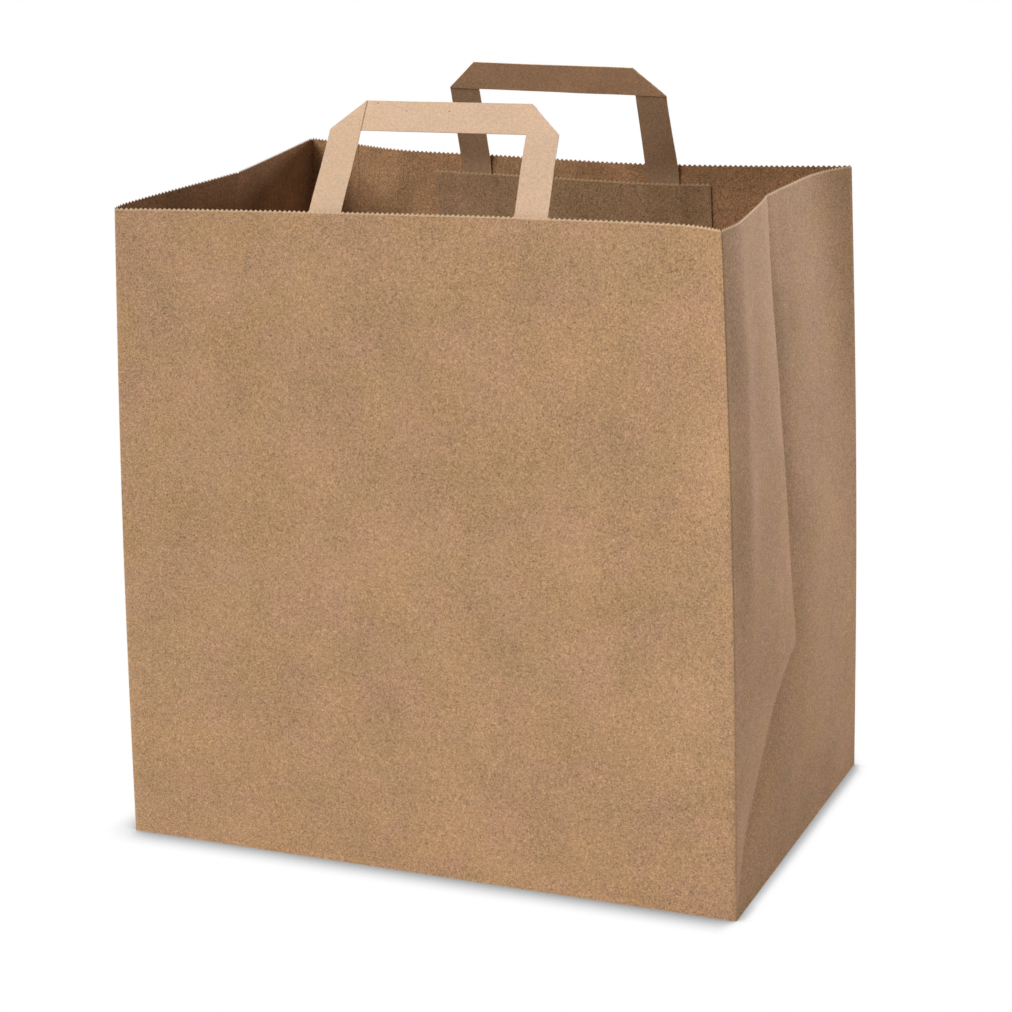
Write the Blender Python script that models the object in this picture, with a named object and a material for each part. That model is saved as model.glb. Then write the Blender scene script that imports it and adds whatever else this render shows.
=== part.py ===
"""Brown kraft carrier bag with side gussets, a block bottom and two folded tape handles.

One folded and glued sheet makes the whole bag body. Its front lies towards -Y, it stands on
Z = 0 and the middle of its base is the origin. Each handle is one flat paper tape, turned
over at both corners and held between its panel and a glued patch.
"""

from bisect import bisect_right
from functools import lru_cache
from math import atan2, copysign, cos, hypot, pi, radians, sin

import bmesh
import bpy
from mathutils import Vector

MM = 0.001

# The bag, as it is folded
bag_width = 370 * MM
bag_depth = 236 * MM
bag_height = 370 * MM
sheet = 0.2 * MM
flap_overlap = 24 * MM
lap_width = 22 * MM
lap_from_corner = 22 * MM
lap_step = 0.3 * MM

# The toothed cut of the rim, of the outer bottom flap and of the patches
tooth_pitch = 3 * MM
tooth_height = 1.2 * MM
tooth_band = 8 * MM

# Where the opened bag's rim corners stand, measured from upright: right, back and up
rim_lean = {
    "front_left": Vector((-0.7 * MM, 26.0 * MM, -5.2 * MM)),
    "front_right": Vector((-5.6 * MM, -4.8 * MM, 4.8 * MM)),
    "rear_right": Vector((-4.4 * MM, -3.9 * MM, -0.1 * MM)),
    "rear_left": Vector((7.0 * MM, 19.2 * MM, 0.8 * MM)),
}

# How far the rim bends inwards between its corners: share along the wall, depth in mm
rim_bends = {
    "front": ((0, 0), (0.14, 6.6), (0.41, 13.4), (0.65, 16.2), (0.92, 12.5), (1, 0)),
    "right": ((0, 0), (0.12, -3.0), (0.35, -2.0), (0.5, 0), (0.6, 3.5), (0.85, 8.0), (1, 0)),
    "rear": ((0, 0), (0.12, 14.5), (0.33, 30.0), (0.6, 27.0), (0.78, 25.5), (0.91, 10.5), (1, 0)),
    "left": ((0, 0), (0.4, 0.5), (0.5, 0), (0.93, -4.0), (1, 0)),
}
bend_rise = 1.6
upright_bow = 2 * MM

# The side walls' folds
gusset_depth = 13 * MM
base_fold_depth = 4.5 * MM

# The handles and their patches
tape_width = 19.8 * MM
tape_thickness = 0.5 * MM
leg_gap = 103.5 * MM
leg_free_length = 56 * MM
leg_bend_length = 12 * MM
leg_glued_length = 38 * MM
patch_length = 180 * MM
patch_height = 45 * MM
patch_below_rim = 11 * MM
seat_gap = 0.3 * MM
bulge_slope = 6 * MM

# How each handle stands: sideways shift, legs closing in, left and right leg's extra height,
# lean inwards of the legs and of the bar, and the bar's slide to the right
handle_shift = {"front": 5.8 * MM, "rear": 12.4 * MM}
leg_converge = {"front": 2.4 * MM, "rear": 0.9 * MM}
leg_rise = {"front": (2.6 * MM, 1.1 * MM), "rear": (-0.6 * MM, -0.7 * MM)}
leg_lean = {"front": radians(31.5), "rear": radians(19)}
bar_lean = {"front": radians(44.5), "rear": radians(31.5)}
bar_slide = {"front": -2.0 * MM, "rear": 1.8 * MM}

# How finely the paper is divided
panel_spans = 16
gusset_spans = 6
upper_rows = 7
bar_spans = 6
leg_free_rows = 8
leg_glued_rows = 4
patch_spans = 10
patch_rows = 2
closest_edges = 4 * MM
curve_steps = 128
slope_step = 0.002
fold_side = 0.004

half_width = bag_width / 2
half_depth = bag_depth / 2
fold_apex = half_depth
base_thickness = 3 * sheet
lap_start = bag_width - lap_from_corner - lap_width
lap_end = bag_width - lap_from_corner

corners = {
    "front_left": Vector((-half_width, -half_depth, 0)),
    "front_right": Vector((half_width, -half_depth, 0)),
    "rear_right": Vector((half_width, half_depth, 0)),
    "rear_left": Vector((-half_width, half_depth, 0)),
}
walls = {
    "front": ("front_left", "front_right"),
    "right": ("front_right", "rear_right"),
    "rear": ("rear_right", "rear_left"),
    "left": ("rear_left", "front_left"),
}
wall_lengths = {"front": bag_width, "right": bag_depth, "rear": bag_width, "left": bag_depth}


def clear_scene():
    for item in list(bpy.data.objects):
        bpy.data.objects.remove(item, do_unlink=True)


def smooth_curve(points, place):
    """Height at a place of the smooth curve through the points."""
    slopes = [0.0] * len(points)
    for index in range(1, len(points) - 1):
        before, after = points[index - 1], points[index + 1]
        slopes[index] = (after[1] - before[1]) / (after[0] - before[0])
    slopes[0] = 2 * (points[1][1] - points[0][1]) / (points[1][0] - points[0][0]) - slopes[1]
    slopes[-1] = 2 * (points[-1][1] - points[-2][1]) / (points[-1][0] - points[-2][0]) - slopes[-2]
    index = 0
    while index < len(points) - 2 and place > points[index + 1][0]:
        index += 1
    (left, low), (right, high) = points[index], points[index + 1]
    span = right - left
    share = (place - left) / span
    rise = high - low
    bend_in = slopes[index] * span - rise
    bend_out = rise - slopes[index + 1] * span
    return low + share * rise + share * (1 - share) * ((1 - share) * bend_in + share * bend_out)


def ease(value):
    """0 below 0, 1 above 1 and a soft step between."""
    value = min(max(value, 0.0), 1.0)
    return value * value * (3 - 2 * value)


def corner_point(name, level):
    foot = corners[name]
    upright = foot + Vector((0, 0, bag_height * level))
    bow = Vector((copysign(upright_bow, foot.x) * sin(pi * level), 0, 0))
    return upright + rim_lean[name] * level + bow


def base_fold(share_out, height):
    """Inset of the fold that runs from the apex down to each bottom corner."""
    share_up = height / fold_apex
    if share_up >= 1:
        return 0.0
    if share_out + share_up > 1:
        on_fold = 1 - share_up
        across_fold = (1 - share_out) / share_up
    else:
        on_fold = share_out
        across_fold = share_up / (1 - share_out) if share_out < 1 else 0
    return base_fold_depth * (1 - (2 * on_fold - 1) ** 4) * across_fold


def gusset_inset(share, height):
    """Inset of a side wall: the middle crease above the apex, the slanted folds below it."""
    share_out = abs(2 * share - 1)
    above = max(height - fold_apex, 0.0) / (bag_height - fold_apex)
    return gusset_depth * above * (1 - share_out) + base_fold(share_out, height)


@lru_cache(maxsize=None)
def paper_lengths(wall, level):
    """Length of paper up to each of many even steps between a wall's corners."""
    start, end = (corner_point(name, level) for name in walls[wall])
    chord = (end - start).length / curve_steps
    lengths = [0.0]
    last = 0.0
    for index in range(1, curve_steps + 1):
        depth = smooth_curve(rim_bends[wall], index / curve_steps) * MM * level ** bend_rise
        lengths.append(lengths[-1] + hypot(chord, depth - last))
        last = depth
    return lengths


def chord_share(wall, share, level):
    """Share of the straight line between the corners, for a share of the bent paper."""
    lengths = paper_lengths(wall, level)
    length = share * lengths[-1]
    index = min(max(bisect_right(lengths, length) - 1, 0), curve_steps - 1)
    within = (length - lengths[index]) / (lengths[index + 1] - lengths[index])
    return (index + within) / curve_steps


def wall_face(wall, share, level):
    """Point of a wall's outer face, by its share along the wall and its share of the height."""
    if wall in ("front", "rear"):
        share = chord_share(wall, share, level)
    start, end = (corner_point(name, level) for name in walls[wall])
    along = end - start
    inward = Vector((-along.y, along.x, 0)).normalized()
    depth = smooth_curve(rim_bends[wall], share) * MM * level ** bend_rise
    if wall in ("right", "left"):
        depth += gusset_inset(share, level * bag_height)
    return start + along * share + inward * depth


def wall_inward(wall, share, level):
    """Inward direction of a wall, from its slope over a small step each way."""
    low_share, high_share = max(share - slope_step, 0), min(share + slope_step, 1)
    low_level, high_level = max(level - slope_step, 0), min(level + slope_step, 1)
    along = wall_face(wall, high_share, level) - wall_face(wall, low_share, level)
    upward = wall_face(wall, share, high_level) - wall_face(wall, share, low_level)
    return upward.cross(along).normalized()


def wall_point(wall, share, level, inset):
    """Point at a depth under the wall's outer face, mitred where two faces meet in a fold."""
    point = wall_face(wall, share, level)
    names = list(walls)
    if share == 0:
        before = wall_inward(names[names.index(wall) - 1], 1, level)
        after = wall_inward(wall, fold_side, level)
    elif share == 1:
        before = wall_inward(wall, 1 - fold_side, level)
        after = wall_inward(names[(names.index(wall) + 1) % len(names)], 0, level)
    else:
        before = wall_inward(wall, max(share - fold_side, 0), level)
        after = wall_inward(wall, min(share + fold_side, 1), level)
    mitred = (before + after) / (1 + before.dot(after))
    return point + mitred * inset


def stations(wall):
    """Shares along a wall where the paper has its upright edges, without the last."""
    if wall in ("right", "left"):
        spans = 2 * gusset_spans
        return [index / spans for index in range(spans)]
    shares = [index / panel_spans for index in range(panel_spans)]
    if wall == "rear":
        laps = [lap_start, lap_start + lap_step, lap_end, lap_end + lap_step]
        laps = [lap / bag_width for lap in laps]
        near = closest_edges / bag_width
        shares = [share for share in shares if min(abs(share - lap) for lap in laps) > near]
        shares = sorted(shares + laps)
    return shares


def lap_fade(distance):
    """1 over the lap, falling away to 0 at the corner behind it."""
    return 1 - max(distance - lap_end - lap_step, 0) / (lap_from_corner - lap_step)


def outer_inset(wall, share):
    distance = share * bag_width
    if wall == "rear" and distance > lap_end + lap_step / 2:
        return sheet * lap_fade(distance)
    return 0.0


def inner_inset(wall, share):
    distance = share * bag_width
    if wall == "rear" and distance > lap_start + lap_step / 2:
        return sheet + sheet * lap_fade(distance)
    return sheet


def ring_rows():
    """Shares of the height where the paper has its level edges."""
    apex = fold_apex / bag_height
    top = 1 - tooth_band / bag_height
    lower = [apex * index / gusset_spans for index in range(gusset_spans)]
    upper = [apex + (top - apex) * index / upper_rows for index in range(upper_rows + 1)]
    return lower + upper


def toothed_shares(length):
    """Shares along a cut edge and the height of each, valley and tip by turns."""
    teeth = max(round(length / tooth_pitch), 1)
    return [(index / (2 * teeth), tooth_height * (index % 2)) for index in range(2 * teeth)]


def body_ring(bm, level, inset_of, lowest):
    ring = []
    for order, wall in enumerate(walls):
        for share in stations(wall):
            point = wall_point(wall, share, level, inset_of(wall, share))
            point.z = max(point.z, lowest)
            ring.append((order + share, bm.verts.new(point)))
    return ring


def body_rim(bm, inset_of):
    ring = []
    for order, wall in enumerate(walls):
        for share, rise in toothed_shares(wall_lengths[wall]):
            level = 1 - (tooth_height - rise) / bag_height
            point = wall_point(wall, share, level, inset_of(wall, share))
            ring.append((order + share, bm.verts.new(point)))
    return ring


def fold_rises(place):
    """True where the slanted fold of a side wall climbs along the sheet."""
    return int(place) % 2 == 1 and place % 1 < 0.499


def half_way(row, index):
    """Place half way to the next vertex of a row, or past everything at its end."""
    if index == len(row) - 1:
        return float("inf")
    return (row[index][0] + row[index + 1][0]) / 2


def join_rows(bm, lower, upper, outward):
    """Triangles between two rows of (place, vertex), walked side by side."""
    low = high = 0
    while low < len(lower) - 1 or high < len(upper) - 1:
        half_low = half_way(lower, low)
        half_high = half_way(upper, high)
        tie = abs(half_low - half_high) < 1e-6
        climb = fold_rises(lower[low][0]) if tie else half_high < half_low
        if climb:
            corner = upper[high + 1][1]
            face = (lower[low][1], corner, upper[high][1])
            high += 1
        else:
            corner = lower[low + 1][1]
            face = (lower[low][1], corner, upper[high][1])
            low += 1
        bm.faces.new(face if outward else face[::-1])


def close_row(row):
    """The same row with its first vertex again at its end."""
    return row + [(row[0][0] + len(walls), row[0][1])]


def build_base(bm, ring):
    """Glued bottom flaps seen from below: front flap outermost, then rear flap, then sides."""
    reach = half_width - half_depth
    over = flap_overlap / 2
    rear_rise = sheet * (1 - over / half_depth)
    runs = {}
    for order, wall in enumerate(walls):
        runs[wall] = [vertex for place, vertex in close_row(ring) if order <= place <= order + 1]
    meet = {}
    for side in (-1, 1):
        for layer in range(3):
            meet[side, layer] = bm.verts.new((side * reach, 0, layer * sheet))
    edge = 2 * (reach - over)
    teeth = toothed_shares(edge) + [(1, 0)]
    front_cut = []
    rear_cut = []
    for share, rise in teeth:
        across = edge / 2 - share * edge
        front_cut.append(bm.verts.new((across, over + rise, 0)))
        rear_cut.append(bm.verts.new((across, over + rise, rear_rise - sheet * rise / half_depth)))
    front = runs["front"] + [meet[1, 0]] + front_cut + [meet[-1, 0]]
    rear = runs["rear"] + [meet[-1, 1]] + rear_cut[::-1] + [meet[1, 1]]
    bm.faces.new(front[::-1])
    bm.faces.new(rear[::-1])
    bm.faces.new((runs["right"] + [meet[1, 2]])[::-1])
    bm.faces.new((runs["left"] + [meet[-1, 2]])[::-1])
    bm.faces.new((runs["right"][0], meet[1, 2], meet[1, 1], meet[1, 0])[::-1])
    bm.faces.new((runs["right"][-1], meet[1, 1], meet[1, 2])[::-1])
    bm.faces.new((runs["left"][-1], meet[-1, 0], meet[-1, 1], meet[-1, 2])[::-1])
    bm.faces.new((runs["left"][0], meet[-1, 2], meet[-1, 1])[::-1])
    upper = [meet[1, 1]] + rear_cut + [meet[-1, 1]]
    lower = [meet[1, 0]] + front_cut + [meet[-1, 0]]
    for index in range(len(upper) - 1):
        bm.faces.new((lower[index], lower[index + 1], upper[index + 1], upper[index]))


def build_body():
    bm = bmesh.new()
    skins = []
    for inset_of, lowest, outward in ((outer_inset, 0, True), (inner_inset, base_thickness, False)):
        rows = [body_ring(bm, level, inset_of, lowest) for level in ring_rows()]
        rows.append(body_rim(bm, inset_of))
        for lower, upper in zip(rows, rows[1:]):
            join_rows(bm, close_row(lower), close_row(upper), outward)
        skins.append(rows)
    outer, inner = skins
    outer_rim, inner_rim = close_row(outer[-1]), close_row(inner[-1])
    for index in range(len(outer_rim) - 1):
        near, far = outer_rim[index][1], outer_rim[index + 1][1]
        bm.faces.new((near, far, inner_rim[index + 1][1], inner_rim[index][1]))
    bm.faces.new([vertex for place, vertex in inner[0]])
    build_base(bm, outer[0])
    return bm


def on_panel(wall, across, below, depth):
    """Point inside the front or rear panel: across to the right, down from the rim, inwards."""
    way = 1 if wall == "front" else -1
    share = 0.5 + way * (across + handle_shift[wall]) / bag_width
    level = 1 - below / bag_height
    return wall_point(wall, share, level, sheet + depth)


def panel_tilt(wall, across):
    """How far a panel leans inwards below the patch's edge, from upright."""
    low = on_panel(wall, across, patch_below_rim + tooth_band, 0)
    high = on_panel(wall, across, patch_below_rim, 0)
    return atan2(abs(high.y - low.y), high.z - low.z)


def tape_point(wall, across, along, depth):
    """Point of a handle: on the panel up to the patch's edge, curling inwards above it."""
    inwards = Vector((0, 1 if wall == "front" else -1, 0))
    upwards = Vector((0, 0, 1))
    reach = leg_gap / 2 + tape_width / 2
    risen = ease(along / leg_free_length)
    across *= 1 - risen * leg_converge[wall] / reach
    if along <= 0:
        return on_panel(wall, across, patch_below_rim - along, seat_gap + depth)
    share = (across / reach + 1) / 2
    left = on_panel(wall, -reach, patch_below_rim, seat_gap)
    right = on_panel(wall, reach, patch_below_rim, seat_gap)
    foot = on_panel(wall, across, patch_below_rim, seat_gap).lerp(left.lerp(right, share), risen)
    start = panel_tilt(wall, -reach) * (1 - share) + panel_tilt(wall, reach) * share
    bend = min(along, leg_bend_length)
    radius = leg_bend_length / (leg_lean[wall] - start)
    lean = start + bend / radius
    curve = inwards * (cos(start) - cos(lean)) + upwards * (sin(lean) - sin(start))
    left_rise, right_rise = leg_rise[wall]
    rise = left_rise * (1 - share) + right_rise * share
    leg = min(along, leg_free_length) - bend + rise * risen
    point = foot + curve * radius + (inwards * sin(lean) + upwards * cos(lean)) * leg
    bar = max(along - leg_free_length, 0)
    point += (inwards * sin(bar_lean[wall]) + upwards * cos(bar_lean[wall])) * bar
    point.x += bar_slide[wall] * bar / tape_width
    return point + (inwards * cos(lean) - upwards * sin(lean)) * depth


def fuse_cells(cells, place, outward):
    """One closed shell from prisms (outline, low, high) that share whole faces."""
    shell = {}
    for outline, low, high in cells:
        bottom = [(*point, low) for point in outline]
        top = [(*point, high) for point in outline]
        faces = [bottom[::-1], top]
        for index in range(len(outline)):
            after = (index + 1) % len(outline)
            faces.append([bottom[index], bottom[after], top[after], top[index]])
        for face in faces:
            key = frozenset(face)
            if key in shell:
                del shell[key]
            else:
                shell[key] = face
    bm = bmesh.new()
    vertices = {}
    for face in shell.values():
        for point in face:
            if point not in vertices:
                vertices[point] = bm.verts.new(place(*point))
        corners_of_face = [vertices[point] for point in face]
        bm.faces.new(corners_of_face if outward else corners_of_face[::-1])
    return bm


def build_handle(wall):
    inner = leg_gap / 2
    outer = inner + tape_width
    bar_low = leg_free_length
    bar_high = bar_low + tape_width
    rows = [-leg_glued_length * (1 - index / leg_glued_rows) for index in range(leg_glued_rows)]
    rows += [bar_low * index / leg_free_rows for index in range(leg_free_rows + 1)]
    single, double = tape_thickness, 2 * tape_thickness
    cells = []
    for low, high in zip(rows, rows[1:]):
        cells.append((((-outer, low), (-inner, low), (-inner, high), (-outer, high)), 0, single))
        cells.append((((inner, low), (outer, low), (outer, high), (inner, high)), 0, single))
    for low, high in ((0, single), (single, double)):
        cells.append((((-outer, bar_low), (-inner, bar_low), (-inner, bar_high)), low, high))
        cells.append((((inner, bar_low), (outer, bar_low), (inner, bar_high)), low, high))
    places = [-inner + leg_gap * index / bar_spans for index in range(bar_spans + 1)]
    places[-1] = inner
    for left, right in zip(places, places[1:]):
        outline = ((left, bar_low), (right, bar_low), (right, bar_high), (left, bar_high))
        cells.append((outline, single, double))

    def place(across, along, depth):
        return tape_point(wall, across, along, depth)

    return fuse_cells(cells, place, wall == "rear")


def patch_depth(across, below):
    """Distance of the patch's outer face from the panel: it lifts over the tape's legs."""
    middle = leg_gap / 2 + tape_width / 2
    beside = abs(abs(across) - middle) - tape_width / 2
    past_end = below - patch_below_rim - leg_glued_length
    away = max(beside, past_end, 0)
    lift = 1 - ease((away - seat_gap) / bulge_slope)
    return seat_gap + (tape_thickness + seat_gap) * lift


def patch_places():
    """Distances across the patch where its sheet has an upright edge."""
    reach = patch_length / 2
    inner = leg_gap / 2
    outer = inner + tape_width
    places = [-reach + patch_length * index / patch_spans for index in range(patch_spans + 1)]
    marks = []
    for side in (-1, 1):
        for mark in (inner - bulge_slope, inner, outer, outer + bulge_slope):
            marks.append(side * mark)
    kept = []
    for place in places[1:-1]:
        if min(abs(place - mark) for mark in marks) > closest_edges:
            kept.append(place)
    return sorted(kept + marks + [places[0], places[-1]])


def patch_row(bm, wall, along_edge, depth, below_of):
    row = []
    for across, rise in along_edge:
        below = below_of(rise)
        point = on_panel(wall, across, below, patch_depth(across, below) + depth)
        row.append((across, bm.verts.new(point)))
    return row


def build_patch(wall):
    bm = bmesh.new()
    top = patch_below_rim
    bottom = patch_below_rim + patch_height
    cut = []
    for share, rise in toothed_shares(patch_length) + [(1, 0)]:
        cut.append((patch_length * (share - 0.5), rise))
    plain = [(across, 0) for across in patch_places()]
    inner_rows = []
    for index in range(patch_rows + 1):
        inner_rows.append(top + tooth_band + (patch_height - 2 * tooth_band) * index / patch_rows)
    faces = []
    for depth, outward in ((0, wall == "front"), (sheet, wall != "front")):
        rows = [patch_row(bm, wall, cut, depth, lambda rise: bottom - rise)]
        for below in reversed(inner_rows):
            rows.append(patch_row(bm, wall, plain, depth, lambda rise: below))
        rows.append(patch_row(bm, wall, cut, depth, lambda rise: top + tooth_height - rise))
        for lower, upper in zip(rows, rows[1:]):
            join_rows(bm, lower, upper, outward)
        faces.append(rows)
    close_edges(bm, faces, wall == "front")
    return bm


def close_edges(bm, faces, outward):
    """Cut edges all round, between the two faces of a patch."""
    loops = []
    for rows in faces:
        bottom = [vertex for place, vertex in rows[0]]
        top = [vertex for place, vertex in rows[-1]]
        right = [row[-1][1] for row in rows[1:-1]]
        left = [row[0][1] for row in rows[1:-1]]
        loops.append(bottom + right + top[::-1] + left[::-1])
    first, second = loops
    for index in range(len(first)):
        after = (index + 1) % len(first)
        face = (first[after], first[index], second[index], second[after])
        bm.faces.new(face if outward else face[::-1])


def kraft_paper(name, colour, roughness):
    material = bpy.data.materials.new(name)
    material.use_nodes = True
    shader = material.node_tree.nodes["Principled BSDF"]
    shader.inputs["Base Color"].default_value = (*colour, 1)
    shader.inputs["Roughness"].default_value = roughness
    shader.inputs["Metallic"].default_value = 0
    material.diffuse_color = (*colour, 1)
    return material


def add_piece(name, bm, colour, roughness=0.85):
    bmesh.ops.triangulate(bm, faces=bm.faces[:])
    mesh = bpy.data.meshes.new(name)
    bm.to_mesh(mesh)
    bm.free()
    piece = bpy.data.objects.new(name, mesh)
    piece.data.materials.append(kraft_paper(name + "_paper", colour, roughness))
    bpy.context.scene.collection.objects.link(piece)
    return piece


def main():
    clear_scene()
    add_piece("bag_body", build_body(), (0.48, 0.29, 0.16))
    add_piece("front_handle", build_handle("front"), (0.62, 0.41, 0.26))
    add_piece("rear_handle", build_handle("rear"), (0.55, 0.36, 0.22))
    add_piece("front_patch", build_patch("front"), (0.44, 0.27, 0.16))
    add_piece("rear_patch", build_patch("rear"), (0.44, 0.27, 0.16))


main()
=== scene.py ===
# %% [markdown]
# # A brown kraft carrier bag
# The bag is one sheet of brown paper, folded and glued into a tube with a block bottom, and
# two flat paper tapes that are its handles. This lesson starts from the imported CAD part, makes
# the soft paper pieces again with finer folds, gives them paper materials, and lights them
# as a photographer would on a white table.

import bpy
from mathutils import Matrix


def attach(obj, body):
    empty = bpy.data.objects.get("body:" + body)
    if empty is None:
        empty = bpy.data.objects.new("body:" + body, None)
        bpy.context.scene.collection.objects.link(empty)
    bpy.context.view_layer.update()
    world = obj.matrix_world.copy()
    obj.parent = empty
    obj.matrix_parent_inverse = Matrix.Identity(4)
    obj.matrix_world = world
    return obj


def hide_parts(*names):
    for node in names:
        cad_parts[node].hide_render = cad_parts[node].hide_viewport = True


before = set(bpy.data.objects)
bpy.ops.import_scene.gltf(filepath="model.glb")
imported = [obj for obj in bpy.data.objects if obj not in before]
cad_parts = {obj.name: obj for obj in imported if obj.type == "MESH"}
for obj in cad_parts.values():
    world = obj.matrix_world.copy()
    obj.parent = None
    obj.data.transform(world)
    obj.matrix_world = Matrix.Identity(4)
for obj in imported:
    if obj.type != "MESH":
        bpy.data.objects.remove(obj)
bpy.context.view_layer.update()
print("nodes:", sorted(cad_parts))

# %% Modules
from bisect import bisect_right
from functools import lru_cache
from math import atan2, copysign, cos, exp, hypot, pi, radians, sin

import bmesh
import bpy
from mathutils import Matrix, Vector, noise

MM = 0.001

# %% [markdown]
# ## The size of the sheet
# A bag maker writes down the width, the depth and the height of a bag, and everything else
# follows from how it is folded. The same few sizes are the ones of the CAD part, so each new
# piece lands where its solid is.

# %% Sizes of the bag
bag_width, bag_depth, bag_height = 370 * MM, 236 * MM, 370 * MM
sheet = 0.2 * MM
lap_width, lap_from_corner = 22 * MM, 22 * MM
flap_overlap = 24 * MM
tooth_pitch, tooth_height = 3 * MM, 1.2 * MM
gusset_depth, base_fold_depth = 13 * MM, 4.5 * MM

half_width, half_depth = bag_width / 2, bag_depth / 2
lap_start = bag_width - lap_from_corner - lap_width
lap_end = bag_width - lap_from_corner

corners = {
    "front_left": Vector((-half_width, -half_depth, 0)),
    "front_right": Vector((half_width, -half_depth, 0)),
    "rear_right": Vector((half_width, half_depth, 0)),
    "rear_left": Vector((-half_width, half_depth, 0)),
}
walls = {
    "front": ("front_left", "front_right"),
    "right": ("front_right", "rear_right"),
    "rear": ("rear_right", "rear_left"),
    "left": ("rear_left", "front_left"),
}
wall_names = list(walls)

# %% [markdown]
# ## How an opened bag stands
# A bag that was flat a moment ago never opens square. Its rim corners stand a little off, its
# panels bow inwards, and its gussets keep their crease. Each wall is described by its rim
# curve, which fades away downwards, and by how far its folds are pushed in. A curve through a
# few measured places is easier to change than a sculpted mesh.

# %% The rim's corners and curves
rim_lean = {
    "front_left": Vector((-0.7 * MM, 26.0 * MM, -5.2 * MM)),
    "front_right": Vector((-5.6 * MM, -4.8 * MM, 4.8 * MM)),
    "rear_right": Vector((-4.4 * MM, -3.9 * MM, -0.1 * MM)),
    "rear_left": Vector((7.0 * MM, 19.2 * MM, 0.8 * MM)),
}
rim_bends = {
    "front": ((0, 0), (0.14, 6.6), (0.41, 13.4), (0.65, 16.2), (0.92, 12.5), (1, 0)),
    "right": ((0, 0), (0.12, -3.0), (0.35, -2.0), (0.5, 0), (0.6, 3.5), (0.85, 8.0), (1, 0)),
    "rear": ((0, 0), (0.12, 14.5), (0.33, 30.0), (0.6, 27.0), (0.78, 25.5), (0.91, 10.5), (1, 0)),
    "left": ((0, 0), (0.4, 0.5), (0.5, 0), (0.93, -4.0), (1, 0)),
}
bend_rise = 1.6
upright_bow = 2 * MM
curve_steps = 128
slope_step = 0.002
fold_side = 0.004


def smooth_curve(points, place):
    """Height at a place of the smooth curve through the points."""
    slopes = [0.0] * len(points)
    for index in range(1, len(points) - 1):
        before, after = points[index - 1], points[index + 1]
        slopes[index] = (after[1] - before[1]) / (after[0] - before[0])
    slopes[0] = 2 * (points[1][1] - points[0][1]) / (points[1][0] - points[0][0]) - slopes[1]
    slopes[-1] = 2 * (points[-1][1] - points[-2][1]) / (points[-1][0] - points[-2][0]) - slopes[-2]
    index = 0
    while index < len(points) - 2 and place > points[index + 1][0]:
        index += 1
    (left, low), (right, high) = points[index], points[index + 1]
    span = right - left
    share = (place - left) / span
    rise = high - low
    bend_in = slopes[index] * span - rise
    bend_out = rise - slopes[index + 1] * span
    return low + share * rise + share * (1 - share) * ((1 - share) * bend_in + share * bend_out)


def ease(value):
    """0 below 0, 1 above 1 and a soft step between."""
    value = min(max(value, 0.0), 1.0)
    return value * value * (3 - 2 * value)


@lru_cache(maxsize=None)
def corner_point(name, level):
    """A corner of the bag at a share of its height, on its slightly bowed upright fold."""
    foot = corners[name]
    bow = Vector((copysign(upright_bow, foot.x) * sin(pi * level), 0, 0))
    return foot + Vector((0, 0, bag_height * level)) + rim_lean[name] * level + bow


@lru_cache(maxsize=None)
def rim_depth(wall, share):
    """How far a wall's rim is bent inwards at a share of its length."""
    return smooth_curve(rim_bends[wall], share) * MM


# %% The folds of the side walls
def base_fold(share_out, height):
    """Inset of the fold that runs from the apex down to each bottom corner."""
    share_up = height / half_depth
    if share_up >= 1:
        return 0.0
    if share_out + share_up > 1:
        on_fold = 1 - share_up
        across_fold = (1 - share_out) / share_up
    else:
        on_fold = share_out
        across_fold = share_up / (1 - share_out) if share_out < 1 else 0
    return base_fold_depth * (1 - (2 * on_fold - 1) ** 4) * across_fold


def valley_share(height):
    """Where the right wall's one sharp valley runs: its crease, then the front slanted fold."""
    return 0.5 * min(height / half_depth, 1.0)


def right_base_fold(share, height):
    """On the right wall only the front slanted fold is still sharp, the rear one has opened."""
    share_up = min(height / half_depth, 1.0)
    depth = base_fold_depth * (1 - (1 - 2 * share_up) ** 4)
    valley = valley_share(height)
    if share <= valley:
        return depth * share / valley
    return depth * (1 - share) / (1 - valley)


def gusset_inset(wall, share, height):
    """Inset of a side wall: the middle crease above the apex, the slanted folds below it."""
    share_out = abs(2 * share - 1)
    above = max(height - half_depth, 0.0) / (bag_height - half_depth)
    lower = right_base_fold(share, height) if wall == "right" and height > 0 else 0.0
    if wall == "left":
        lower = base_fold(share_out, height)
    return gusset_depth * above * (1 - share_out) + lower


# %% Paper that bends keeps its length
@lru_cache(maxsize=None)
def paper_lengths(wall, level):
    """Length of paper up to each of many even steps between a wall's corners."""
    start, end = (corner_point(name, level) for name in walls[wall])
    chord = (end - start).length / curve_steps
    lengths = [0.0]
    last = 0.0
    for index in range(1, curve_steps + 1):
        depth = rim_depth(wall, index / curve_steps) * level ** bend_rise
        lengths.append(lengths[-1] + hypot(chord, depth - last))
        last = depth
    return lengths


@lru_cache(maxsize=None)
def chord_share(wall, share, level):
    """Share of the straight line between the corners, for a share of the bent paper."""
    lengths = paper_lengths(wall, level)
    length = share * lengths[-1]
    index = min(max(bisect_right(lengths, length) - 1, 0), curve_steps - 1)
    within = (length - lengths[index]) / (lengths[index + 1] - lengths[index])
    return (index + within) / curve_steps


@lru_cache(maxsize=None)
def wall_face(wall, share, level):
    """Point of a wall's outer face, by its share along the wall and its share of the height."""
    if wall in ("front", "rear"):
        share = chord_share(wall, share, level)
    start, end = (corner_point(name, level) for name in walls[wall])
    along = end - start
    inward = Vector((-along.y, along.x, 0)).normalized()
    depth = rim_depth(wall, share) * level ** bend_rise
    if wall in ("right", "left"):
        depth += gusset_inset(wall, share, level * bag_height)
    return start + along * share + inward * depth


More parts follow.
